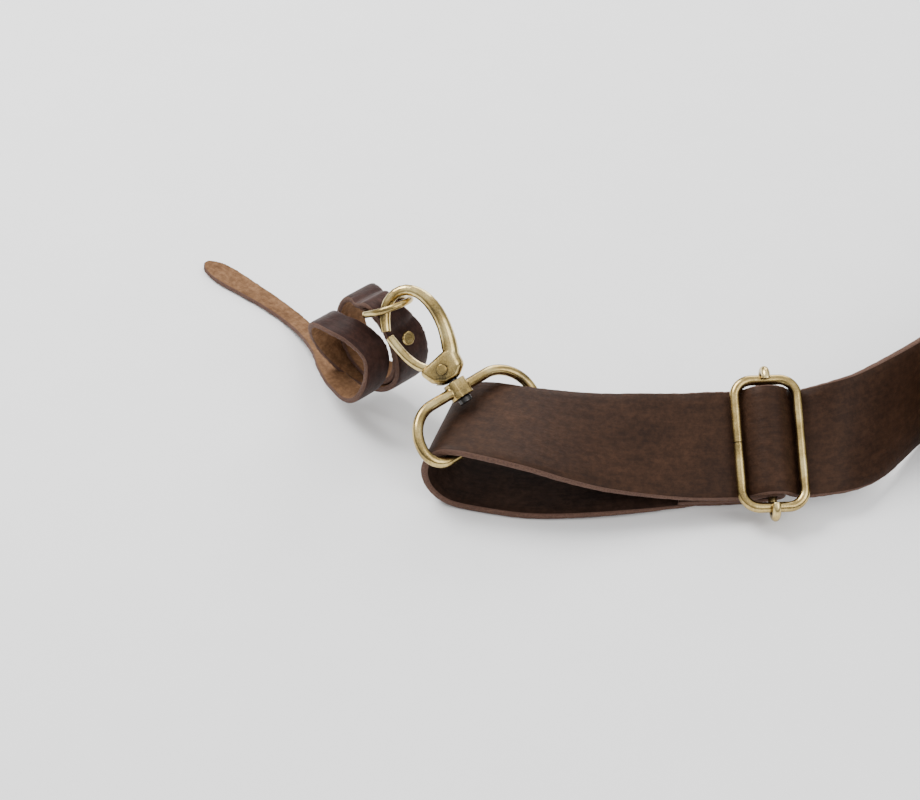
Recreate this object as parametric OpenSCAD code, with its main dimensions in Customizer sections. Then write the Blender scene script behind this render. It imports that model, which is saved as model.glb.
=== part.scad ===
/* [Leather] */
// width of the main strap
strap_w = 38; // [30:1:50]
// thickness of the main strap leather
strap_t = 2.8; // [2:0.1:4]
// clear bore of the closed horn collar
collar_bore = 28; // [20:1:40]
// thickness of the collar strip
collar_t = 2.2; // [1.5:0.1:3]

/* [Slider] */
// overall size of the slider frame across the strap
slider_l = 48.2; // [40:0.1:60]
// overall size of the slider frame along the strap
slider_w = 25; // [20:0.5:30]
// wire diameter of the slider frame
slider_wire = 3.6; // [3:0.1:5]
// diameter of the slider's centre bar
bar_d = 3; // [2:0.1:4]

/* [Snap hook] */
// half width of the swivel loop, centreline
loop_half = 25; // [20:0.5:28]
// height of the swivel loop, bar centre to boss centre
loop_h = 19; // [14:0.5:24]
// wire diameter of the swivel loop
loop_wire = 3.8; // [3:0.1:5]
// diameter of the gate's pivot pin
pin_d = 3; // [2:0.1:4]
// inside width of the D-ring
dring_in = 12.6; // [10:0.1:20]

/* [Storage coil] */
// outer radius of the coiled spare length, leather centreline
coil_r = 68; // [60:1:90]
// distance from one coil turn to the next
coil_pitch = 4; // [3.5:0.1:6]

/* [Hidden] */
origin = [41.3, 8.1, -26.5];
dark = [0.24, 0.15, 0.11];
tan_c = [0.66, 0.50, 0.36];
brass = [0.76, 0.66, 0.42];
steel = [0.35, 0.34, 0.33];
wt = [strap_w, strap_t, 0];

// points of the slider's own frame, and of the fold at the swivel loop
function sdir(x, y, z) = [x * cos(3) - y * sin(3) * cos(34) + z * sin(3) * sin(34),
  x * sin(3) + y * cos(3) * cos(34) - z * cos(3) * sin(34), y * sin(34) + z * cos(34)];
sc = [105, -48, 21.2];
function srow(x, z) = concat(sc + sdir(x, 0.6, z), sdir(0, 1, 0), wt);
fc = [4.9, -40, 0];
function frow(s, z, t) = concat(fc + [s * cos(18), -s * sin(18), z],
  [sin(18) * cos(t), cos(18) * cos(t), sin(t)], wt);
function grow(x, y, z, f, t) = concat([x, y, z], [-sin(f) * cos(t), cos(f) * cos(t), sin(t)], wt);

// smooth curve through the rows: every column is interpolated
function cr(a, b, c, d, t) = 0.5 * (2 * b + (c - a) * t + (2 * a - 5 * b + 4 * c - d) * t * t
  + (3 * b - a - 3 * c + d) * t * t * t);
function smooth(P, n) = let (m = len(P) - 1) concat(
  [for (i = [0:m - 1]) for (k = [0:n - 1]) cr(P[max(i - 1, 0)], P[i], P[i + 1], P[min(i + 2, m)], k / n)],
  [P[m]]);
function unit(v) = v / norm(v);
function pos(r) = [r[0], r[1], r[2]];
function wid(r) = [r[3], r[4], r[5]];
function ring(R, i) = let (n = len(R) - 1, c = pos(R[i]),
  t = unit(pos(R[min(i + 1, n)]) - pos(R[max(i - 1, 0)])),
  w = unit(wid(R[i]) - (wid(R[i]) * t) * t), u = cross(t, w), a = R[i][6] / 2, b = R[i][7] / 2, e = b * 0.45)
  [for (q = [[-a, -b + e], [-a + e, -b], [a - e, -b], [a, -b + e], [a, b - e], [a - e, b], [-a + e, b], [-a, b - e]])
  c + q[0] * w + q[1] * u + t * R[i][8] * q[0]];

// a ribbon with eased edges along rows of position, width direction, width, thickness and end slant
module ribbon(R) {
  n = len(R);
  pts = [for (i = [0:n - 1]) each ring(R, i)];
  faces = concat([[0, 1, 2, 3, 4, 5, 6, 7]], [[for (k = [0:7]) n * 8 - 1 - k]],
    [for (i = [0:n - 2]) for (k = [0:7]) each [
      [i * 8 + k, (i + 1) * 8 + (k + 1) % 8, i * 8 + (k + 1) % 8],
      [i * 8 + k, (i + 1) * 8 + k, (i + 1) * 8 + (k + 1) % 8]]]);
  polyhedron(pts, faces);
}

// a round rod of changing radius along rows of x, z and radius, with closed flat ends
function rodring(R, i) = let (n = len(R) - 1, c = [R[i][0], 0, R[i][1]],
  d = R[min(i + 1, n)] - R[max(i - 1, 0)], t = unit([d[0], 0, d[1]]), u = cross([0, 1, 0], t))
  [for (k = [0:15]) c + R[i][2] * (cos(k * 22.5) * u + sin(k * 22.5) * R[i][3] * [0, 1, 0])];
module rod(R) {
  n = len(R);
  pts = [for (i = [0:n - 1]) each rodring(R, i)];
  faces = concat([[for (k = [0:15]) k]], [[for (k = [0:15]) n * 16 - 1 - k]],
    [for (i = [0:n - 2]) for (k = [0:15]) each [
      [i * 16 + k, (i + 1) * 16 + (k + 1) % 16, i * 16 + (k + 1) % 16],
      [i * 16 + k, (i + 1) * 16 + k, (i + 1) * 16 + (k + 1) % 16]]]);
  polyhedron(pts, faces);
}

// the strap's route: fixed end at the slider bar, lower layer, fold at the swivel loop, top layer,
// over the slider bar, on to its edge, the coil, and the riveted far end
start_rows = [
  concat(sc + sdir(-26, 0.6, -7.8), sdir(0, 1, 0), [strap_w, strap_t, 0.3]),
  concat(sc + sdir(-22.5, 0.6, -7.75), sdir(0, 1, 0), [strap_w, strap_t, 0.15]),
  srow(-19, -7.8), srow(-15, -7.6), srow(-11.5, -7.2),
  srow(-8.3, -6.3), srow(-5.2, -4.2), srow(-2.7, -1.6), srow(0.2, -0.2), srow(2.6, -1.5), srow(3.3, -3.8),
  srow(2.2, -6.2), srow(-0.8, -7.6), srow(-5, -9.2), srow(-9, -10.2), srow(-13, -10.7), srow(-17, -10.8),
  srow(-22, -11), srow(-27, -11.3)
];
lower_rows = [
  grow(63, -43.6, 8.7, 1, 22), grow(49, -44.6, 5.4, -2, 11), grow(36, -45, 3.1, -7, 5),
  grow(25, -44.6, 2, -12, 2), grow(14.5, -42.8, 1.6, -17, 0)
];
fold_rows = [
  frow(0, 1.5, 0), frow(-5.9, 3.1, 0), frow(-10.3, 7.4, 0), frow(-11.9, 13.4, 0), frow(-10.3, 19.4, 0),
  frow(-5.9, 23.7, 0), frow(0, 25.4, 1), frow(6, 25.9, 2)
];
top_rows = [
  grow(17, -43.8, 25.9, -14, 3), grow(26, -45.5, 25, -9, 6), grow(37, -46.6, 23, -5, 12), grow(49, -47.1, 21, -1, 19),
  grow(63, -47, 19.6, 1, 26), grow(76, -46.8, 18.7, 3, 31),
  srow(-20, -3.4), srow(-15, -3.7), srow(-12, -3.8), srow(-10.2, -3.8), srow(-8.5, -3), srow(-6.8, -1.4), srow(-4.6, 1),
  srow(-2.4, 2.6), srow(0, 3.1), srow(2.6, 2.5), srow(4.9, 0.6), srow(6.9, -1.8), srow(8.7, -3.4),
  srow(10.8, -4), srow(14, -3.8),
  grow(129, -43.4, 20, 10, 43), grow(139, -38, 19.8, 24, 55), grow(150, -28.3, 19.6, 38, 66),
  grow(162, -16.4, 19.4, 45, 74), grow(173, -4, 19.4, 49, 81), grow(183, 8.4, 19.4, 50, 87)
];
cc = [244, -22];
function coil(a) = let (th = 140 - a, r = coil_r - coil_pitch * a / 360) concat(
  [cc[0] + r * cos(th), cc[1] + r * sin(th), 19.4], [0, 0, 1], wt);
coil_rows = [for (i = [0:60]) coil(i * 12)];
re = coil_r - 2 * coil_pitch;
e2 = [cc[0] + re * cos(140), cc[1] + re * sin(140)];
ac = e2 + 25.5 * [sin(50), -cos(50)];
function arc(r, a, z) = concat([ac[0] - r * cos(a) * sin(50) + r * sin(a) * cos(50),
  ac[1] + r * cos(a) * cos(50) + r * sin(a) * sin(50), z], [0, 0, 1], wt);
f0 = [ac[0] + 23.95 * (-cos(95) * sin(50) + sin(95) * cos(50)) + 7 * cos(45),
  ac[1] + 23.95 * (cos(95) * cos(50) + sin(95) * sin(50)) - 7 * sin(45), 27];
function ffr(u, v) = concat(f0 + [u * cos(45) + v * sin(45), -u * sin(45) + v * cos(45), 0], [0, 0, 1], wt);
far_rows = [
  arc(25.5, 14, 19.7), arc(25.5, 28, 20.9), arc(25.5, 42, 22.8), arc(25.5, 56, 24.6), arc(25.5, 70, 26), arc(25.5, 84, 26.8),
  ffr(-7, 1.6), ffr(-4, 2.5), ffr(-1.7, 3.5), ffr(0.9, 3.7), ffr(3, 2.3), ffr(3.8, 0), ffr(3, -2.3), ffr(0.9, -3.7),
  ffr(-1.7, -3.5), ffr(-4, -2.5), ffr(-7, -1.8),
  arc(22, 84, 26.8), arc(22, 70, 26), arc(22, 56, 24.6), arc(22, 42, 22.8), arc(22, 36, 22)
];

module place_slider() {
  translate(sc) rotate([34, 0, 3]) children();
}
module place_far_rivet(dz) {
  translate([ac[0], ac[1], 25 + dz]) rotate([0, 90, 80]) translate([0, 0, 23.95]) children();
}

module main_strap() {
  color(dark)
  translate(origin)
  difference() {
    ribbon(concat(smooth(concat(start_rows, lower_rows, fold_rows, top_rows), 2), coil_rows, smooth(far_rows, 2)));
    place_slider() translate([-18, 0.6, -13]) cylinder(h = 7.2, r = 1.5, $fn = 32);
    for (dz = [-9, 9]) place_far_rivet(dz) translate([0, 0, -6]) cylinder(h = 12, r = 1.5, $fn = 32);
  }
}

// a tubular rivet along z, for a grip from zero to g
module rivet(g, r_head) {
  cylinder(h = g, r = 1.48, $fn = 32);
  translate([0, 0, g]) cylinder(h = 0.8, r1 = r_head, r2 = r_head - 0.6, $fn = 48);
  translate([0, 0, -0.8]) cylinder(h = 0.8, r1 = r_head - 0.6, r2 = r_head, $fn = 48);
}

module slider_rivet() {
  color(brass) translate(origin) place_slider() translate([-18, 0.6, -12.3]) rivet(5.95, 3.6);
}
module far_rivet_upper() {
  color(brass) translate(origin) place_far_rivet(9) translate([0, 0, -3.4]) rivet(6.4, 3.6);
}
module far_rivet_lower() {
  color(brass) translate(origin) place_far_rivet(-9) translate([0, 0, -3.4]) rivet(6.4, 3.6);
}

// the bent wire rectangle, with the butt seam of its ends in the left wire
module slider_frame() {
  hx = (slider_w - slider_wire) / 2;
  hy = (slider_l - slider_wire) / 2;
  c = 6;
  r = slider_wire / 2;
  color(brass)
  translate(origin) place_slider()
  difference() {
    union() {
      for (s = [-1, 1]) {
        translate([s * hx, 0, 0]) rotate([90, 0, 0]) cylinder(h = 2 * (hy - c), r = r, center = true, $fn = 48);
        translate([0, s * hy, 0]) rotate([0, 90, 0]) cylinder(h = 2 * (hx - c), r = r, center = true, $fn = 48);
      }
      for (q = [0:3]) {
        sx = (q == 0 || q == 3) ? 1 : -1;
        sy = q < 2 ? 1 : -1;
        translate([sx * (hx - c), sy * (hy - c), 0]) rotate([0, 0, q * 90])
          rotate_extrude(angle = 90, $fn = 96) translate([c, 0]) circle(r = r, $fn = 48);
      }
    }
    translate([-hx, 0.5, 0]) rotate([90, 0, 0]) difference() {
      cylinder(h = 0.3, r = r + 1, $fn = 48);
      translate([0, 0, -1]) cylinder(h = 3, r = r - 0.25, $fn = 48);
    }
  }
}

// the centre bar, hooked round both rails of the frame
module slider_bar() {
  hy = (slider_l - slider_wire) / 2;
  r = bar_d / 2;
  rc = slider_wire / 2 + 0.1 + r;
  color(brass)
  translate(origin) place_slider() {
    translate([0, 0, -rc]) rotate([90, 0, 0]) cylinder(h = 2 * hy, r = r, center = true, $fn = 48);
    for (s = [-1, 1]) translate([0, s * hy, 0]) rotate([90, 0, s > 0 ? 90 : -90]) rotate([0, 0, -90])
      rotate_extrude(angle = 188, $fn = 96) translate([rc, 0]) circle(r = r, $fn = 48);
  }
}

// the swivel snap hook, drawn with its spin axis along z and the loop's boss at zero
module near_set() {
  translate(origin) translate([-0.5, -32.5, 32]) rotate([-54, 0, 43]) children();
}
module far_set() {
  translate(origin) translate([f0[0] + loop_h * cos(45), f0[1] - loop_h * sin(45), f0[2]])
    rotate([0, -90, 135]) children();
}
module loop_shape() {
  r = loop_wire / 2;
  ra = 6.5;
  rb = loop_h - ra;
  difference() {
    union() {
      translate([0, 0, -loop_h]) rotate([0, 90, 0])
        cylinder(h = 2 * (loop_half - ra), r = r, center = true, $fn = 48);
      for (s = [0, 180]) rotate([0, 0, s]) {
        translate([loop_half - ra, 0, -loop_h + ra]) rotate([90, 0, 0]) rotate([0, 0, -90])
          rotate_extrude(angle = 90, $fn = 96) translate([ra, 0]) circle(r = r, $fn = 48);
        translate([loop_half - rb, 0, -rb]) rotate([90, 0, 0])
          rotate_extrude(angle = 90, $fn = 96) translate([rb, 0]) circle(r = r, $fn = 48);
        translate([2, 0, 0]) rotate([0, 90, 0]) cylinder(h = loop_half - rb - 2, r = r, $fn = 48);
      }
      intersection() {
        translate([0, 0, -3.1]) cylinder(h = 6.2, r = 4.1, $fn = 64);
        cube([9, 7, 7], center = true);
      }
    }
    translate([0, 0, -4]) cylinder(h = 8, r = 1.75, $fn = 48);
  }
}
module pin_shape() {
  translate([0, 0, -5]) cylinder(h = 10.2, r = 1.7, $fn = 48);
  translate([0, 0, -5.2]) cylinder(h = 1.8, r = 2.4, $fn = 48);
}
module hook_shape(spin) {
  rows = smooth([[1.8, 8.6, 3.1, 1.15], [4.2, 11, 3, 1.1], [6.3, 15.4, 2.75, 1], [8, 20.8, 2.5, 1], [8.7, 26.2, 2.4, 1],
    [8.3, 31.2, 2.2, 1], [6.8, 35.3, 1.95, 1], [4, 38.4, 1.9, 1], [0.2, 39.4, 1.9, 1], [-3.6, 38.4, 1.9, 1],
    [-6.6, 36, 1.9, 1], [-8.6, 33, 1.85, 1], [-9.9, 30.4, 1.75, 1]], 2);
  rotate([0, 0, spin])
  difference() {
    union() {
      hull() {
        translate([-0.2, 0, 5.27]) scale([1.4, 1, 0.55]) sphere(r = 3.4, $fn = 48);
        for (x = [-4.4, 4]) translate([x, 0, 7.8]) scale([1, 1.2, 1]) sphere(r = 2.8, $fn = 48);
        translate([-5.9, 0, 10.6]) scale([1, 1.5, 1]) sphere(r = 2.2, $fn = 48);
        translate([4.4, 0, 11.6]) scale([1, 1.2, 1]) sphere(r = 2.8, $fn = 48);
      }
      rod(rows);
    }
    translate([-14, -1.95, 5.4]) cube([17, 3.9, 12]);
    translate([-0.5, 0, 8.5]) rotate([90, 0, 0]) cylinder(h = 20, r = pin_d / 2 + 0.02, center = true, $fn = 48);
    translate([0, 0, -1]) cylinder(h = 9, r = 1.7, $fn = 48);
  }
}
module gate_shape(spin) {
  rows = smooth([[-1.5, 9.2, 1.62, 1], [-4.2, 10.9, 1.62, 1], [-7, 14.2, 1.62, 1], [-8.8, 18.8, 1.62, 1],
    [-9.6, 23.6, 1.62, 1], [-10, 28.2, 1.6, 1]], 3);
  rotate([0, 0, spin])
  difference() {
    union() {
      rod(rows);
      translate([-0.5, 0, 8.5]) rotate([90, 0, 0]) cylinder(h = 3.3, r = 2.7, center = true, $fn = 64);
    }
    translate([-0.5, 0, 8.5]) rotate([90, 0, 0]) cylinder(h = 9, r = pin_d / 2 + 0.05, center = true, $fn = 48);
  }
}
module gate_pin_shape(spin) {
  rotate([0, 0, spin]) translate([-0.5, 0, 8.5]) rotate([90, 0, 0]) {
    cylinder(h = 7.4, r = pin_d / 2, center = true, $fn = 48);
    for (s = [0, 180]) rotate([s, 0, 0]) translate([0, 0, 3.6]) cylinder(h = 0.5, r1 = 2, r2 = 1.7, $fn = 48);
  }
}

module swivel_loop() {
  color(brass) near_set() loop_shape();
}
module swivel_pin() {
  color(steel) near_set() pin_shape();
}
module hook_body() {
  color(brass) near_set() hook_shape(-41);
}
module gate() {
  color(brass) near_set() gate_shape(-41);
}
module gate_pin() {
  color(brass) near_set() gate_pin_shape(-41);
}
module swivel_loop_far() {
  color(brass) far_set() loop_shape();
}
module swivel_pin_far() {
  color(steel) far_set() pin_shape();
}
module hook_body_far() {
  color(brass) far_set() hook_shape(90);
}
module gate_far() {
  color(brass) far_set() gate_shape(90);
}
module gate_pin_far() {
  color(brass) far_set() gate_pin_shape(90);
}

// the D-ring: straight bar along y, loop towards x
module d_ring() {
  h = dring_in / 2 + 1.2;
  color(brass)
  translate(origin) translate([-28.1, -5.7, 46.3]) rotate([-9.05, -34.28, -40.1]) {
    rotate([90, 0, 0]) cylinder(h = 2 * (h - 2), r = 1.2, center = true, $fn = 48);
    for (s = [-1, 1]) {
      translate([2, s * h, 0]) rotate([0, 90, 0]) cylinder(h = 4, r = 1.2, $fn = 48);
      translate([2, s * (h - 2), 0]) rotate([0, 0, s > 0 ? 90 : 180])
        rotate_extrude(angle = 90, $fn = 96) translate([2, 0]) circle(r = 1.2, $fn = 48);
    }
    translate([6, 0, 0]) rotate([0, 0, -90]) rotate_extrude(angle = 180, $fn = 128) translate([h, 0]) circle(r = 1.2, $fn = 48);
  }
}

// the collar strip in its own frame: z along the horn towards its tip, y up, angles from x towards y
module place_collar() {
  rotate([90, 0, -47]) children();
}
ci = collar_bore / 2 + collar_t / 2 - 0.15;
co = ci + collar_t + 0.35;
function wrap(a, r, z, w) = concat([a, r, z, w]);
wraps = smooth([
  wrap(100, ci, -16.6, 12), wrap(80, ci, -16.6, 12), wrap(50, ci, -16.6, 12), wrap(20, ci, -16.6, 12),
  wrap(-20, ci, -16.6, 12), wrap(-70, ci, -16.6, 12), wrap(-120, ci, -16.6, 12), wrap(-160, ci + 0.1, -16.8, 12),
  wrap(-200, ci + 0.8, -17, 12.5), wrap(-232, co - 0.3, -17, 12.5), wrap(-254, co, -15.5, 12), wrap(-266, co + 0.4, -14, 11.6),
  wrap(-276, co + 2.6, -12.6, 11), wrap(-284, 23.2, -11.6, 10.8), wrap(-291, 24.2, -11.4, 10.8), wrap(-298, 23.4, -11.8, 11),
  wrap(-307, 20.8, -13.4, 12), wrap(-317, co + 0.5, -15.5, 13.4), wrap(-330, co, -16.8, 14.6), wrap(-350, co, -17, 14.6),
  wrap(-380, co, -16.8, 14), wrap(-410, co, -16, 12.5), wrap(-450, co, -14, 11.5), wrap(-490, co - 0.1, -10.6, 11),
  wrap(-525, co - 0.9, -6.4, 10.6), wrap(-555, ci + 0.3, -3, 10.6), wrap(-590, ci, 0, 10.6), wrap(-625, ci, 1.4, 10.6),
  wrap(-655, ci, -1, 10.6), wrap(-690, ci, -3.8, 10.6), wrap(-720, ci, -2.4, 10.6), wrap(-750, ci, -0.4, 10.4),
  wrap(-780, ci, -0.2, 10), wrap(-802, ci + 0.1, -0.8, 9.6)], 4);
collar_rows = concat(
  [for (q = wraps) [q[1] * cos(q[0]), q[1] * sin(q[0]), q[2], 0, 0, 1, q[3], collar_t, 0]],
  smooth([for (q = [[-6, -15.7, -2.2, 6, 9], [-16, -17, -6, 20, 8], [-28, -19.8, -12.4, 28, 7.2], [-42, -23.2, -18, 18, 7],
    [-55, -24.9, -20.6, 6, 7.2], [-68, -25.3, -21, -2, 7.8], [-80, -25.3, -20.3, -4, 8.8], [-90, -25.3, -19.6, -3, 9.8],
    [-97, -25.3, -19.2, -2, 9.2], [-102, -25.3, -19, 0, 6.6], [-105, -25.3, -19, 0, 2.6]])
    [q[0], q[1], q[2], -sin(q[3]), 0, cos(q[3]), q[4], collar_t, 0]], 2));
module collar_strap() {
  color(dark)
  place_collar()
  difference() {
    ribbon(collar_rows);
    translate([0, 0, -40]) cylinder(h = 60, r = collar_bore / 2, $fn = 96);
    rotate([0, 0, 29]) translate([0, 0, -16.6]) rotate([0, 90, 0]) cylinder(h = 30, r = 1.2, $fn = 32);
  }
}
module collar_rivet() {
  color(brass)
  place_collar() rotate([0, 0, 29]) translate([0, 0, -16.6]) rotate([0, 90, 0]) {
    translate([0, 0, 14.25]) cylinder(h = co - 14.25 + 1.2, r = 1.15, $fn = 32);
    translate([0, 0, co + collar_t / 2 - 0.1]) cylinder(h = 0.8, r1 = 2.7, r2 = 2.2, $fn = 48);
  }
}

main_strap();
slider_rivet();
far_rivet_upper();
far_rivet_lower();
slider_frame();
slider_bar();
swivel_loop();
swivel_pin();
hook_body();
gate();
gate_pin();
swivel_loop_far();
swivel_pin_far();
hook_body_far();
gate_far();
gate_pin_far();
d_ring();
collar_strap();
collar_rivet();
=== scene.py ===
import math
import bpy, bmesh
import numpy as np
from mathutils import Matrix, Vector


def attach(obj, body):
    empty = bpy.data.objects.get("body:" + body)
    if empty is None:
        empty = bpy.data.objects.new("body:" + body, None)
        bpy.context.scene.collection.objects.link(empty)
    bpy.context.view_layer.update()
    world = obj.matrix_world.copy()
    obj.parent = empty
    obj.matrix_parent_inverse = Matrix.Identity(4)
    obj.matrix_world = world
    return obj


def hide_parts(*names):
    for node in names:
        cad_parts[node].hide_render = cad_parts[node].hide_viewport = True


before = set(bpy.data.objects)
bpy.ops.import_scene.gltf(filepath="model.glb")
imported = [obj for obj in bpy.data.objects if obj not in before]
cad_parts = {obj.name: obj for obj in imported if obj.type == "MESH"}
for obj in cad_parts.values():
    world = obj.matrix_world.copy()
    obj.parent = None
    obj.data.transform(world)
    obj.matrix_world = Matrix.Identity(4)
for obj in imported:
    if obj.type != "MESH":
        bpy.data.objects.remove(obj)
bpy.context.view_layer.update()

rng = np.random.default_rng(7)
# the part's own origin, in mm: it takes a point of a route to its place in the frame
ORIGIN = np.array([41.3, 8.1, -26.5])
D2R = math.pi / 180


def c(a):
    """Cosine of degrees."""
    return math.cos(a * D2R)


def s(a):
    """Sine of degrees."""
    return math.sin(a * D2R)


def row(p):
    """A route's point, in mm, as a point of the frame, in metres."""
    return (np.array(p, float) + ORIGIN) / 1000


# ---------------------------------------------------------------- camera, floor and light
# the camera looks at LOOK_AT, in a route's mm
LOOK_AT = [0, 0, 0]
CAM_PLACE = [0, -602.9, 505.9]
scene = bpy.context.scene
cam = bpy.data.objects.new("camera", bpy.data.cameras.new("camera"))
scene.collection.objects.link(cam)
scene.camera = cam
cam.data.lens = 85
cam.data.sensor_width = 36
cam.data.clip_start = 0.01
cam.location = row(CAM_PLACE)
cam.rotation_euler = (Vector(row(LOOK_AT)) - cam.location).to_track_quat("-Z", "Y").to_euler()

bpy.ops.mesh.primitive_plane_add(size=6, location=row([0, 0, -0.05]))
floor = bpy.context.object
floor.name = "floor"


def area(name, loc, size, power):
    """A white area light that looks at the strap."""
    light = bpy.data.lights.new(name, "AREA")
    light.size = size
    light.energy = power
    o = bpy.data.objects.new(name, light)
    scene.collection.objects.link(o)
    o.location = loc
    o.rotation_euler = (Vector((0.04, 0, 0)) - o.location).to_track_quat("-Z", "Y").to_euler()


area("key", (-0.45, 0.35, 0.85), 0.55, 13)
area("fill", (0.7, -0.6, 0.7), 0.7, 5)
area("back", (0.35, 0.9, 0.5), 0.6, 6)

# the surroundings go from grey low down to white overhead, so that the metal has something to show
world = bpy.data.worlds.new("world")
scene.world = world
world.use_nodes = True
wt = world.node_tree
w_dir = wt.nodes.new("ShaderNodeTexCoord").outputs["Generated"]
w_sep = wt.nodes.new("ShaderNodeSeparateXYZ")
w_ramp = wt.nodes.new("ShaderNodeValToRGB")
w_ramp.color_ramp.elements[0].position = 0.05
w_ramp.color_ramp.elements[0].color = (0.10, 0.10, 0.10, 1)
w_ramp.color_ramp.elements[1].position = 0.75
w_ramp.color_ramp.elements[1].color = (1, 1, 1, 1)
wt.links.new(w_dir, w_sep.inputs[0])
wt.links.new(w_sep.outputs["Z"], w_ramp.inputs[0])
wt.links.new(w_ramp.outputs["Color"], wt.nodes["Background"].inputs[0])
wt.nodes["Background"].inputs[1].default_value = 1.15


# ---------------------------------------------------------------- materials
class Mat:
    """A Principled material and short ways to add nodes to it."""

    def __init__(self, name):
        self.m = bpy.data.materials.new(name)
        self.m.use_nodes = True
        self.t = self.m.node_tree
        self.b = self.t.nodes["Principled BSDF"]

    def node(self, kind, **sets):
        """A new node. A name that starts with _ is a setting of the node, any other is an input."""
        n = self.t.nodes.new(kind)
        for k, v in sets.items():
            if k.startswith("_"):
                setattr(n, k[1:], v)
            else:
                n.inputs[k].default_value = v
        return n

    def link(self, a, b):
        self.t.links.new(a, b)

    def noise(self, vec, scale, detail=4, rough=0.6):
        n = self.node("ShaderNodeTexNoise", Scale=scale, Detail=detail, Roughness=rough)
        self.link(vec, n.inputs["Vector"])
        return n.outputs["Fac"]

    def ramp(self, fac, stops):
        n = self.t.nodes.new("ShaderNodeValToRGB")
        e = n.color_ramp.elements
        while len(e) < len(stops):
            e.new(0.5)
        for stop, (at, col) in zip(e, stops):
            stop.position = at
            stop.color = (*col, 1)
        self.link(fac, n.inputs[0])
        return n.outputs["Color"]

    def mix(self, fac, a, b, blend="MIX"):
        n = self.t.nodes.new("ShaderNodeMix")
        n.data_type = "RGBA"
        n.blend_type = blend
        for i, v in ((0, fac), (6, a), (7, b)):
            if hasattr(v, "links"):
                self.link(v, n.inputs[i])
            else:
                n.inputs[i].default_value = v if i == 0 else (*v, 1)
        return n.outputs[2]

    def math(self, op, a, b=0.0, third=0.0):
        n = self.t.nodes.new("ShaderNodeMath")
        n.operation = op
        for i, v in enumerate((a, b, third)):
            if hasattr(v, "links"):
                self.link(v, n.inputs[i])
            else:
                n.inputs[i].default_value = v
        return n.outputs[0]

    def along(self, vec, point, axis):
        """How far vec lies from the point, along the axis."""
        n = self.node("ShaderNodeVectorMath", _operation="DOT_PRODUCT")
        self.link(vec, n.inputs[0])
        n.inputs[1].default_value = axis
        return self.math("SUBTRACT", n.outputs["Value"], float(np.dot(point, axis)))

    def bump(self, height, strength, dist, normal=None):
        n = self.node("ShaderNodeBump", Strength=strength, Distance=dist)
        self.link(height, n.inputs["Height"])
        if normal is not None:
            self.link(normal, n.inputs["Normal"])
        return n.outputs["Normal"]


def leather(name, dark, mid, light, rough, fuzz=0.0):
    """Leather with clouds of colour, drawn streaks and fine pores. fuzz is 1 for its flesh side."""
    m = Mat(name)
    uv = m.node("ShaderNodeTexCoord").outputs["UV"]
    cloud = m.noise(uv, 45, 5, 0.62)
    fine = m.noise(uv, 420, 5, 0.7)
    vor = m.node("ShaderNodeTexVoronoi", Scale=1150.0, Randomness=1.0)
    m.link(uv, vor.inputs["Vector"])
    stretch = m.node("ShaderNodeMapping", Scale=(0.25, 1.6, 1))
    m.link(uv, stretch.inputs["Vector"])
    streak = m.noise(stretch.outputs[0], 260, 6, 0.75)
    base = m.ramp(cloud, [(0.30, dark), (0.55, mid), (0.78, light)])
    worn = m.ramp(streak, [(0.35, tuple(0.72 * v for v in dark)), (0.75, light)])
    col = m.mix(0.35, base, worn)
    speck = m.ramp(fine, [(0.40, (0.55, 0.52, 0.5)), (0.62, (1.08, 1.06, 1.04))])
    col = m.mix(0.75, col, speck, "MULTIPLY")
    m.link(col, m.b.inputs["Base Color"])
    m.link(m.math("MULTIPLY_ADD", cloud, 0.22, rough - 0.1), m.b.inputs["Roughness"])
    m.b.inputs["Specular IOR Level"].default_value = 0.13 - 0.06 * fuzz
    n1 = m.bump(vor.outputs["Distance"], 0.35, 0.00012)
    n2 = m.bump(fine, 0.5 + 0.4 * fuzz, 0.00022, n1)
    n3 = m.bump(streak, 0.45, 0.0003, n2)
    m.link(n3, m.b.inputs["Normal"])
    return m.m


def edge_mat(name, a, b):
    """A cut edge: fibres along the leather, from colour a to colour b."""
    m = Mat(name)
    uv = m.node("ShaderNodeTexCoord").outputs["UV"]
    st = m.node("ShaderNodeMapping", Scale=(1, 0.35, 1))
    m.link(uv, st.inputs["Vector"])
    fib = m.noise(st.outputs[0], 1700, 6, 0.75)
    big = m.noise(uv, 150, 4, 0.6)
    col = m.ramp(fib, [(0.32, a), (0.68, b)])
    col = m.mix(m.math("MULTIPLY", big, 0.7), col, a)
    m.link(col, m.b.inputs["Base Color"])
    m.b.inputs["Roughness"].default_value = 0.85
    m.link(m.bump(fib, 0.9, 0.0004), m.b.inputs["Normal"])
    return m.m


# a butt seam's half width, and how far round the wire it shows, in metres
SEAM_HALF = 0.00017
SEAM_REACH = 0.004


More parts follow.
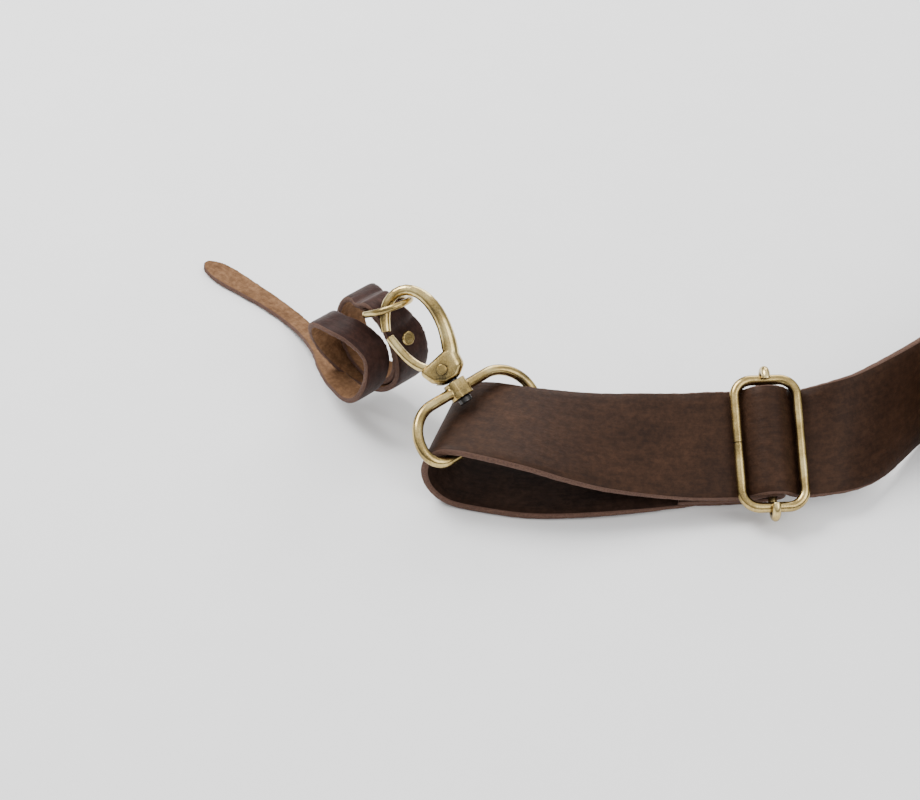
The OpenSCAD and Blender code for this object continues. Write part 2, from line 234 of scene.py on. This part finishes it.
def metal(name, low, mid, high, rough, seam=None):
    """Metal with random tarnish and wear, darker in its corners and where other parts lie close, from patina
    and painted shade. seam is a point, the way across the gap and the way to its far side.
    """
    m = Mat(name)
    obj = m.node("ShaderNodeTexCoord").outputs["Object"]
    ao = m.node("ShaderNodeAmbientOcclusion", Distance=0.004)
    cloud = m.noise(obj, 95, 3, 0.5)
    st = m.node("ShaderNodeMapping", Scale=(1, 1, 0.15), Rotation=(0.5, 0.4, 0.2))
    m.link(obj, st.inputs["Vector"])
    brush = m.noise(st.outputs[0], 3200, 3, 0.6)
    # patina with painted shade: the occlusion darkens the colour in corners and next to other parts, and the
    # noise adds random tarnish
    occ = m.math("MULTIPLY_ADD", ao.outputs["AO"], 1.3, -0.45)
    shade_and_wear = m.math("ADD", m.math("MULTIPLY", occ, 0.62), m.math("MULTIPLY_ADD", cloud, 1.9, -0.92))
    col = m.ramp(shade_and_wear, [(0.15, low), (0.50, mid), (0.85, high)])
    col = m.mix(0.3, col, m.ramp(brush, [(0.3, low), (0.7, high)]))
    if seam is not None:
        point, across, out = seam
        gap = m.math("LESS_THAN", m.math("ABSOLUTE", m.along(obj, point, across)), SEAM_HALF)
        side = m.math("LESS_THAN", m.along(obj, point, out), SEAM_REACH)
        col = m.mix(m.math("MULTIPLY", gap, side), col, (0.006, 0.005, 0.004))
    m.link(col, m.b.inputs["Base Color"])
    m.b.inputs["Metallic"].default_value = 1.0
    m.link(m.math("MULTIPLY_ADD", cloud, 0.2, rough - 0.08), m.b.inputs["Roughness"])
    n1 = m.bump(brush, 0.12, 0.00008)
    m.link(m.bump(cloud, 0.1, 0.0002, n1), m.b.inputs["Normal"])
    return m.m


grain = leather("grain_leather", (0.021, 0.0086, 0.0043), (0.041, 0.0182, 0.0090),
                (0.070, 0.0325, 0.0168), 0.54)
inner = leather("inner_leather", (0.012, 0.006, 0.004), (0.03, 0.015, 0.01), (0.07, 0.038, 0.026), 0.72, 1.0)
edge = edge_mat("leather_edge", (0.045, 0.019, 0.012), (0.21, 0.108, 0.070))
collar_grain = leather("collar_grain", (0.020, 0.0085, 0.0070), (0.042, 0.0185, 0.0145),
                       (0.078, 0.037, 0.0275), 0.5)
flesh = leather("flesh_side", (0.125, 0.062, 0.029), (0.235, 0.128, 0.066), (0.34, 0.198, 0.108), 0.75, 1.0)
BRASS = (0.040, 0.025, 0.010), (0.44, 0.30, 0.100), (0.90, 0.72, 0.34), 0.22
brass = metal("antique_brass", *BRASS)
steel = metal("dark_steel", (0.012, 0.011, 0.011), (0.06, 0.058, 0.056), (0.26, 0.255, 0.25), 0.24)

paper = Mat("floor")
blotch = paper.noise(paper.node("ShaderNodeTexCoord").outputs["Object"], 30, 3)
paper_col = paper.ramp(blotch, [(0.3, (0.92, 0.92, 0.92)), (0.7, (0.94, 0.94, 0.94))])
paper.link(paper_col, paper.b.inputs["Base Color"])
paper.b.inputs["Roughness"].default_value = 0.9
floor.data.materials.append(paper.m)


# ---------------------------------------------------------------- routes, the same as in the part
# A row is a point, the direction of the leather's width, the width, the thickness and the end's slant, in mm.
STRAP_W, STRAP_T = 38, 2.8
SLIDER_W, SLIDER_WIRE = 25, 3.6
SC = np.array([105, -48, 21.2])     # the slider's centre
SLIDER_TURN, SLIDER_TILT = 3, 34    # about z, then about the slider's own x
FC = np.array([4.9, -40, 0])        # the fold at the swivel loop
FOLD_TURN = 18


def sdir(x, y, z):
    """A direction given in the slider's own axes."""
    ct, st, cu, su = c(SLIDER_TURN), s(SLIDER_TURN), c(SLIDER_TILT), s(SLIDER_TILT)
    return np.array([x * ct - y * st * cu + z * st * su,
                     x * st + y * ct * cu - z * ct * su, y * su + z * cu])


def srow(x, z, skew=0.0):
    """A row given from the slider's centre."""
    return [*(SC + sdir(x, 0.6, z)), *sdir(0, 1, 0), STRAP_W, STRAP_T, skew]


def frow(out, z, t):
    """A row of the fold, tilted by t."""
    return [*(FC + [out * c(FOLD_TURN), -out * s(FOLD_TURN), z]),
            s(FOLD_TURN) * c(t), c(FOLD_TURN) * c(t), s(t), STRAP_W, STRAP_T, 0]


def grow(x, y, z, f, t):
    """A row anywhere, turned by f and tilted by t."""
    return [x, y, z, -s(f) * c(t), c(f) * c(t), s(t), STRAP_W, STRAP_T, 0]


def on_edge(x, y, z):
    """A row where the strap stands on its edge."""
    return [x, y, z, 0, 0, 1, STRAP_W, STRAP_T, 0]


def smooth(rows, n):
    """A smooth curve through the rows, with n steps between two of them."""
    rows = np.array(rows, float)
    m = len(rows) - 1
    out = []
    for i in range(m):
        p0, p1, p2, p3 = rows[max(i - 1, 0)], rows[i], rows[i + 1], rows[min(i + 2, m)]
        for k in range(n):
            t = k / n
            out.append(0.5 * (2 * p1 + (p2 - p0) * t + (2 * p0 - 5 * p1 + 4 * p2 - p3) * t * t
                              + (3 * p1 - p0 - 3 * p2 + p3) * t ** 3))
    return np.array(out + [rows[m]])


START = [
    srow(-26, -7.8, 0.3), srow(-22.5, -7.75, 0.15), srow(-19, -7.8), srow(-15, -7.6), srow(-11.5, -7.2),
    srow(-8.3, -6.3), srow(-5.2, -4.2), srow(-2.7, -1.6), srow(0.2, -0.2), srow(2.6, -1.5),
    srow(3.3, -3.8), srow(2.2, -6.2), srow(-0.8, -7.6), srow(-5, -9.2), srow(-9, -10.2),
    srow(-13, -10.7), srow(-17, -10.8), srow(-22, -11), srow(-27, -11.3)]
LOWER = [grow(63, -43.6, 8.7, 1, 22), grow(49, -44.6, 5.4, -2, 11), grow(36, -45, 3.1, -7, 5),
         grow(25, -44.6, 2, -12, 2), grow(14.5, -42.8, 1.6, -17, 0)]
FOLD = [frow(0, 1.5, 0), frow(-5.9, 3.1, 0), frow(-10.3, 7.4, 0), frow(-11.9, 13.4, 0), frow(-10.3, 19.4, 0),
        frow(-5.9, 23.7, 0), frow(0, 25.4, 1), frow(6, 25.9, 2)]
TOP = [grow(17, -43.8, 25.9, -14, 3), grow(26, -45.5, 25, -9, 6), grow(37, -46.6, 23, -5, 12),
       grow(49, -47.1, 21, -1, 19), grow(63, -47, 19.6, 1, 26), grow(76, -46.8, 18.7, 3, 31),
       srow(-20, -3.4), srow(-15, -3.7), srow(-12, -3.8), srow(-10.2, -3.8), srow(-8.5, -3), srow(-6.8, -1.4),
       srow(-4.6, 1), srow(-2.4, 2.6), srow(0, 3.1), srow(2.6, 2.5), srow(4.9, 0.6), srow(6.9, -1.8),
       srow(8.7, -3.4), srow(10.8, -4), srow(14, -3.8),
       grow(129, -43.4, 20, 10, 43), grow(139, -38, 19.8, 24, 55), grow(150, -28.3, 19.6, 38, 66),
       grow(162, -16.4, 19.4, 45, 74), grow(173, -4, 19.4, 49, 81), grow(183, 8.4, 19.4, 50, 87)]

# the spare length, wound on its edge
CC = np.array([244, -22])
COIL_R, COIL_PITCH, COIL_Z = 68, 4, 19.4
COIL_START = 140
COIL_TURNS, COIL_STEP = 2, 1.5


def coil(a):
    """A row of the coil, after a degrees of winding."""
    r = COIL_R - COIL_PITCH * a / 360
    return on_edge(CC[0] + r * c(COIL_START - a), CC[1] + r * s(COIL_START - a), COIL_Z)


COIL = [coil(i * COIL_STEP) for i in range(int(COIL_TURNS * 360 / COIL_STEP) + 1)]
COIL_END = CC + (COIL_R - COIL_TURNS * COIL_PITCH) * np.array([c(COIL_START), s(COIL_START)])

# the far end bends away from the coil in two layers, round the far loop's bar and back under the rivets
FAR_TURN = 50
FAR_OUT, FAR_IN = 25.5, 22
BAR_R, BAR_AT, BAR_STEP, BAR_TURN, BAR_Z = 23.95, 95, 7, 45, 27
AC = COIL_END + FAR_OUT * np.array([s(FAR_TURN), -c(FAR_TURN)])


def arc(r, a, z):
    """A row on the far end's bend."""
    return on_edge(AC[0] - r * c(a) * s(FAR_TURN) + r * s(a) * c(FAR_TURN),
                   AC[1] + r * c(a) * c(FAR_TURN) + r * s(a) * s(FAR_TURN), z)


F0 = np.array([
    AC[0] + BAR_R * (-c(BAR_AT) * s(FAR_TURN) + s(BAR_AT) * c(FAR_TURN)) + BAR_STEP * c(BAR_TURN),
    AC[1] + BAR_R * (c(BAR_AT) * c(FAR_TURN) + s(BAR_AT) * s(FAR_TURN)) - BAR_STEP * s(BAR_TURN), BAR_Z])


def ffr(u, v):
    """A row round the far loop's bar."""
    return on_edge(F0[0] + u * c(BAR_TURN) + v * s(BAR_TURN), F0[1] - u * s(BAR_TURN) + v * c(BAR_TURN), BAR_Z)


OUTER_BEND = [(14, 19.7), (28, 20.9), (42, 22.8), (56, 24.6), (70, 26), (84, 26.8)]
INNER_BEND = [(84, 26.8), (70, 26), (56, 24.6), (42, 22.8), (36, 22)]
ROUND_BAR = [(-7, 1.6), (-4, 2.5), (-1.7, 3.5), (0.9, 3.7), (3, 2.3), (3.8, 0),
             (3, -2.3), (0.9, -3.7), (-1.7, -3.5), (-4, -2.5), (-7, -1.8)]
FAR = [arc(FAR_OUT, a, z) for a, z in OUTER_BEND] + [ffr(u, v) for u, v in ROUND_BAR]
FAR += [arc(FAR_IN, a, z) for a, z in INNER_BEND]


# ---------------------------------------------------------------- leather ribbons
TOP_SIDE, UNDER_SIDE, EDGE_SIDE = 0, 1, 2
EDGE_POINTS = 5
EDGE_SPAN = 0.75        # share of the thickness that the edge's own points cover
CORNER = 0.42           # rounding of the corners, share of half the thickness
BULGE = 0.28            # how far the edge swells, share of half the thickness
SOFT_BAND = 1.6         # how far in from the edge the faces dip, mm
UV_UNDER, UV_EDGE = 60, 120     # where the other sides start in the pattern, mm


def loop_section(nx):
    """The section's points in order, as (across, up, side), with across and up from -1 to 1."""
    pts = [(x, 1, TOP_SIDE) for x in np.linspace(1, -1, nx)]
    pts += [(-1, e, EDGE_SIDE) for e in np.linspace(EDGE_SPAN, -EDGE_SPAN, EDGE_POINTS)]
    pts += [(x, -1, UNDER_SIDE) for x in np.linspace(-1, 1, nx)]
    pts += [(1, e, EDGE_SIDE) for e in np.linspace(-EDGE_SPAN, EDGE_SPAN, EDGE_POINTS)]
    return pts


def ribbon(name, rows, mats, rough_edge=0.12, nx=15, shift=row, clip=None):
    """Leather along the rows, with dipped faces and a slightly frayed edge. mats are top, under and edge."""
    n = len(rows)
    pos = rows[:, :3]
    tan = np.gradient(pos, axis=0)
    tan /= np.linalg.norm(tan, axis=1)[:, None]
    wid = rows[:, 3:6] - np.sum(rows[:, 3:6] * tan, axis=1)[:, None] * tan
    wid /= np.linalg.norm(wid, axis=1)[:, None]
    nor = np.cross(tan, wid)
    run = np.concatenate([[0], np.cumsum(np.linalg.norm(np.diff(pos, axis=0), axis=1))])
    sec = loop_section(nx)
    k = len(sec)
    wob = rng.normal(0, 1, (n, k))
    marks = np.arange(0, run[-1] + 9, 6.0)
    slow = np.interp(run, marks, rng.normal(0, 1, len(marks)))
    verts, uvs = [], []
    for i in range(n):
        a, b = rows[i, 6] / 2, rows[i, 7] / 2
        r = CORNER * b
        for j, (x, z, side) in enumerate(sec):
            if side == EDGE_SIDE:
                bulge = BULGE * (1 - (z / EDGE_SPAN) ** 2) * b
                fray = 0.45 * slow[i] * 0.3 + 0.5 * wob[i, j]
                px = x * (a - r * 0.55 + bulge) + x * rough_edge * fray
                pz = z * b
            else:
                edge_near = max(0.0, abs(x * a) - (a - SOFT_BAND)) / SOFT_BAND
                px = x * (a - r)
                pz = z * (b - 0.10 * edge_near ** 2 * b)
            p = pos[i] + px * wid[i] + pz * nor[i] + tan[i] * rows[i, 8] * px
            if clip is not None:
                p = clip(p)
            verts.append(shift(p))
            uvs.append((run[i] / 1000, (px + (0, UV_UNDER, UV_EDGE + 3 * pz)[side]) / 1000))
    faces, fmat = [], []
    for i in range(n - 1):
        for j in range(k):
            nxt = (j + 1) % k
            faces.append((i * k + j, i * k + nxt, (i + 1) * k + nxt, (i + 1) * k + j))
            both = (sec[j][2], sec[nxt][2])
            fmat.append(EDGE_SIDE if EDGE_SIDE in both else both[0])
    faces.append(tuple(range(k - 1, -1, -1)))
    faces.append(tuple((n - 1) * k + j for j in range(k)))
    fmat += [EDGE_SIDE, EDGE_SIDE]
    mesh = bpy.data.meshes.new(name)
    mesh.from_pydata([tuple(v) for v in verts], [], faces)
    layer = mesh.uv_layers.new(name="UVMap")
    for poly in mesh.polygons:
        poly.use_smooth = True
        poly.material_index = fmat[poly.index]
        for li in poly.loop_indices:
            layer.data[li].uv = uvs[mesh.loops[li].vertex_index]
    for m in mats:
        mesh.materials.append(m)
    bm = bmesh.new()
    bm.from_mesh(mesh)
    bmesh.ops.recalc_face_normals(bm, faces=bm.faces)
    bm.to_mesh(mesh)
    bm.free()
    o = bpy.data.objects.new(name, mesh)
    scene.collection.objects.link(o)
    return o


def thin(rows, gap):
    """The rows that lie more than gap, in mm, from the one kept before them."""
    kept = [0]
    for i in range(1, len(rows)):
        if np.linalg.norm(rows[i, :3] - rows[kept[-1], :3]) > gap:
            kept.append(i)
    return rows[kept]


strap_rows = np.vstack([smooth(START + LOWER + FOLD + TOP, 8), COIL, smooth(FAR, 8)])
strap = ribbon("strap_leather", thin(strap_rows, 0.7), [grain, inner, edge])
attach(strap, "strap")
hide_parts("main_strap")


# ---------------------------------------------------------------- the collar
# In the collar's own axes, z along the horn. WRAPS is the winding as (angle, radius, z, width), with CI and CO
# the middle of the inner and the outer layer. TAIL is (x, y, z, twist, width).
BORE_R, COLLAR_T = 14, 2.2
COLLAR_TURN = -47
CI = BORE_R + COLLAR_T / 2 - 0.15
CO = CI + COLLAR_T + 0.35
WRAPS = [
    (100, CI, -16.6, 12), (80, CI, -16.6, 12), (50, CI, -16.6, 12), (20, CI, -16.6, 12),
    (-20, CI, -16.6, 12), (-70, CI, -16.6, 12), (-120, CI, -16.6, 12), (-160, CI + 0.1, -16.8, 12),
    (-200, CI + 0.8, -17, 12.5), (-232, CO - 0.3, -17, 12.5), (-254, CO, -15.5, 12),
    (-266, CO + 0.4, -14, 11.6), (-276, CO + 2.6, -12.6, 11), (-284, 23.2, -11.6, 10.8),
    (-291, 24.2, -11.4, 10.8), (-298, 23.4, -11.8, 11),
    (-307, 20.8, -13.4, 12), (-317, CO + 0.5, -15.5, 13.4), (-330, CO, -16.8, 14.6), (-350, CO, -17, 14.6),
    (-380, CO, -16.8, 14), (-410, CO, -16, 12.5), (-450, CO, -14, 11.5), (-490, CO - 0.1, -10.6, 11),
    (-525, CO - 0.9, -6.4, 10.6), (-555, CI + 0.3, -3, 10.6), (-590, CI, 0, 10.6), (-625, CI, 1.4, 10.6),
    (-655, CI, -1, 10.6), (-690, CI, -3.8, 10.6), (-720, CI, -2.4, 10.6), (-750, CI, -0.4, 10.4),
    (-780, CI, -0.2, 10), (-802, CI + 0.1, -0.8, 9.6)]
TAIL = [(-6, -15.7, -2.2, 6, 9), (-16, -17, -6, 20, 8), (-28, -19.8, -12.4, 28, 7.2), (-42, -23.2, -18, 18, 7),
        (-55, -24.9, -20.6, 6, 7.2), (-68, -25.3, -21, -2, 7.8), (-80, -25.3, -20.3, -4, 8.8),
        (-90, -25.3, -19.6, -3, 9.8), (-97, -25.3, -19.2, -2, 9.2), (-102, -25.3, -19, 0, 6.6),
        (-105, -25.3, -19, 0, 2.6)]


def collar_to_frame(p):
    """A point in the collar's axes, in mm, as a point of the frame, which has its origin on that axis."""
    ct, st = c(COLLAR_TURN), s(COLLAR_TURN)
    return np.array([p[0] * ct + p[2] * st, p[0] * st - p[2] * ct, p[1]]) / 1000


def keep_bore(p):
    """Moves a point that lies inside the horn's bore out to it."""
    r = math.hypot(p[0], p[1])
    return np.array([p[0] * BORE_R / r, p[1] * BORE_R / r, p[2]]) if r < BORE_R else p


band_rows = [[r * c(a), r * s(a), z, 0, 0, 1, w, COLLAR_T, 0] for a, r, z, w in smooth(WRAPS, 12)]
tail_rows = [(x, y, z, -s(twist), 0, c(twist), w, COLLAR_T, 0) for x, y, z, twist, w in TAIL]
band_rows = thin(np.array(band_rows + list(smooth(tail_rows, 10))), 0.35)
band = ribbon("collar_leather", band_rows, [flesh, collar_grain, edge], 0.2, 11, collar_to_frame, keep_bore)
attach(band, "collar")
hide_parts("collar_strap")


# ---------------------------------------------------------------- cast and bent metal
# the slider's ends butt in the middle of its left wire
RAIL_X = -(SLIDER_W - SLIDER_WIRE) / 2
SEAM = (row(SC + sdir(RAIL_X, 0.35, 0)), sdir(0, 1, 0), sdir(1, 0, 0))
frame_brass = metal("slider_brass", *BRASS, seam=SEAM)


def cast(node, body, mat, voxel, soften):
    """A soft-edged piece that follows the CAD node's shape, in place of its faceted one."""
    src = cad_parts[node]
    mesh = src.data.copy()
    mesh.transform(src.matrix_world)
    mesh.materials.clear()
    o = bpy.data.objects.new(node + "_metal", mesh)
    scene.collection.objects.link(o)
    bm = bmesh.new()
    bm.from_mesh(mesh)
    bmesh.ops.remove_doubles(bm, verts=bm.verts, dist=1e-6)
    bm.to_mesh(mesh)
    bm.free()
    mesh.update()
    o.modifiers.new("remesh", "REMESH").mode = "VOXEL"
    o.modifiers["remesh"].voxel_size = voxel
    sm = o.modifiers.new("smooth", "SMOOTH")
    sm.factor = 0.5
    sm.iterations = soften
    bpy.context.view_layer.update()
    got = bpy.data.meshes.new_from_object(o.evaluated_get(bpy.context.evaluated_depsgraph_get()))
    o.modifiers.clear()
    o.data = got
    for poly in got.polygons:
        poly.use_smooth = True
        poly.material_index = 0
    got.materials.clear()
    got.materials.append(mat)
    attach(o, body)
    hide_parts(node)
    return o


coarse = 1.0
for node, body, voxel in (
        ("slider_frame", "strap", 0.00022), ("slider_bar", "strap", 0.0002), ("swivel_loop", "loop", 0.0002),
        ("hook_body", "hook", 0.00017), ("gate", "gate_arm", 0.00014), ("d_ring", "ring", 0.00014),
        ("swivel_loop_far", "loop_far", 0.0003), ("hook_body_far", "hook_far", 0.00026),
        ("gate_far", "gate_arm_far", 0.00022)):
    cast(node, body, frame_brass if node == "slider_frame" else brass, voxel * coarse, 5)
for node, body, voxel in (
        ("gate_pin", "hook", 0.00012), ("gate_pin_far", "hook_far", 0.0002),
        ("collar_rivet", "collar", 0.00012), ("slider_rivet", "strap", 0.0002),
        ("far_rivet_upper", "strap", 0.0002), ("far_rivet_lower", "strap", 0.0002)):
    cast(node, body, brass, voxel * coarse, 3)
for node, body in (("swivel_pin", "hook"), ("swivel_pin_far", "hook_far")):
    cast(node, body, steel, 0.00014 * coarse, 2)
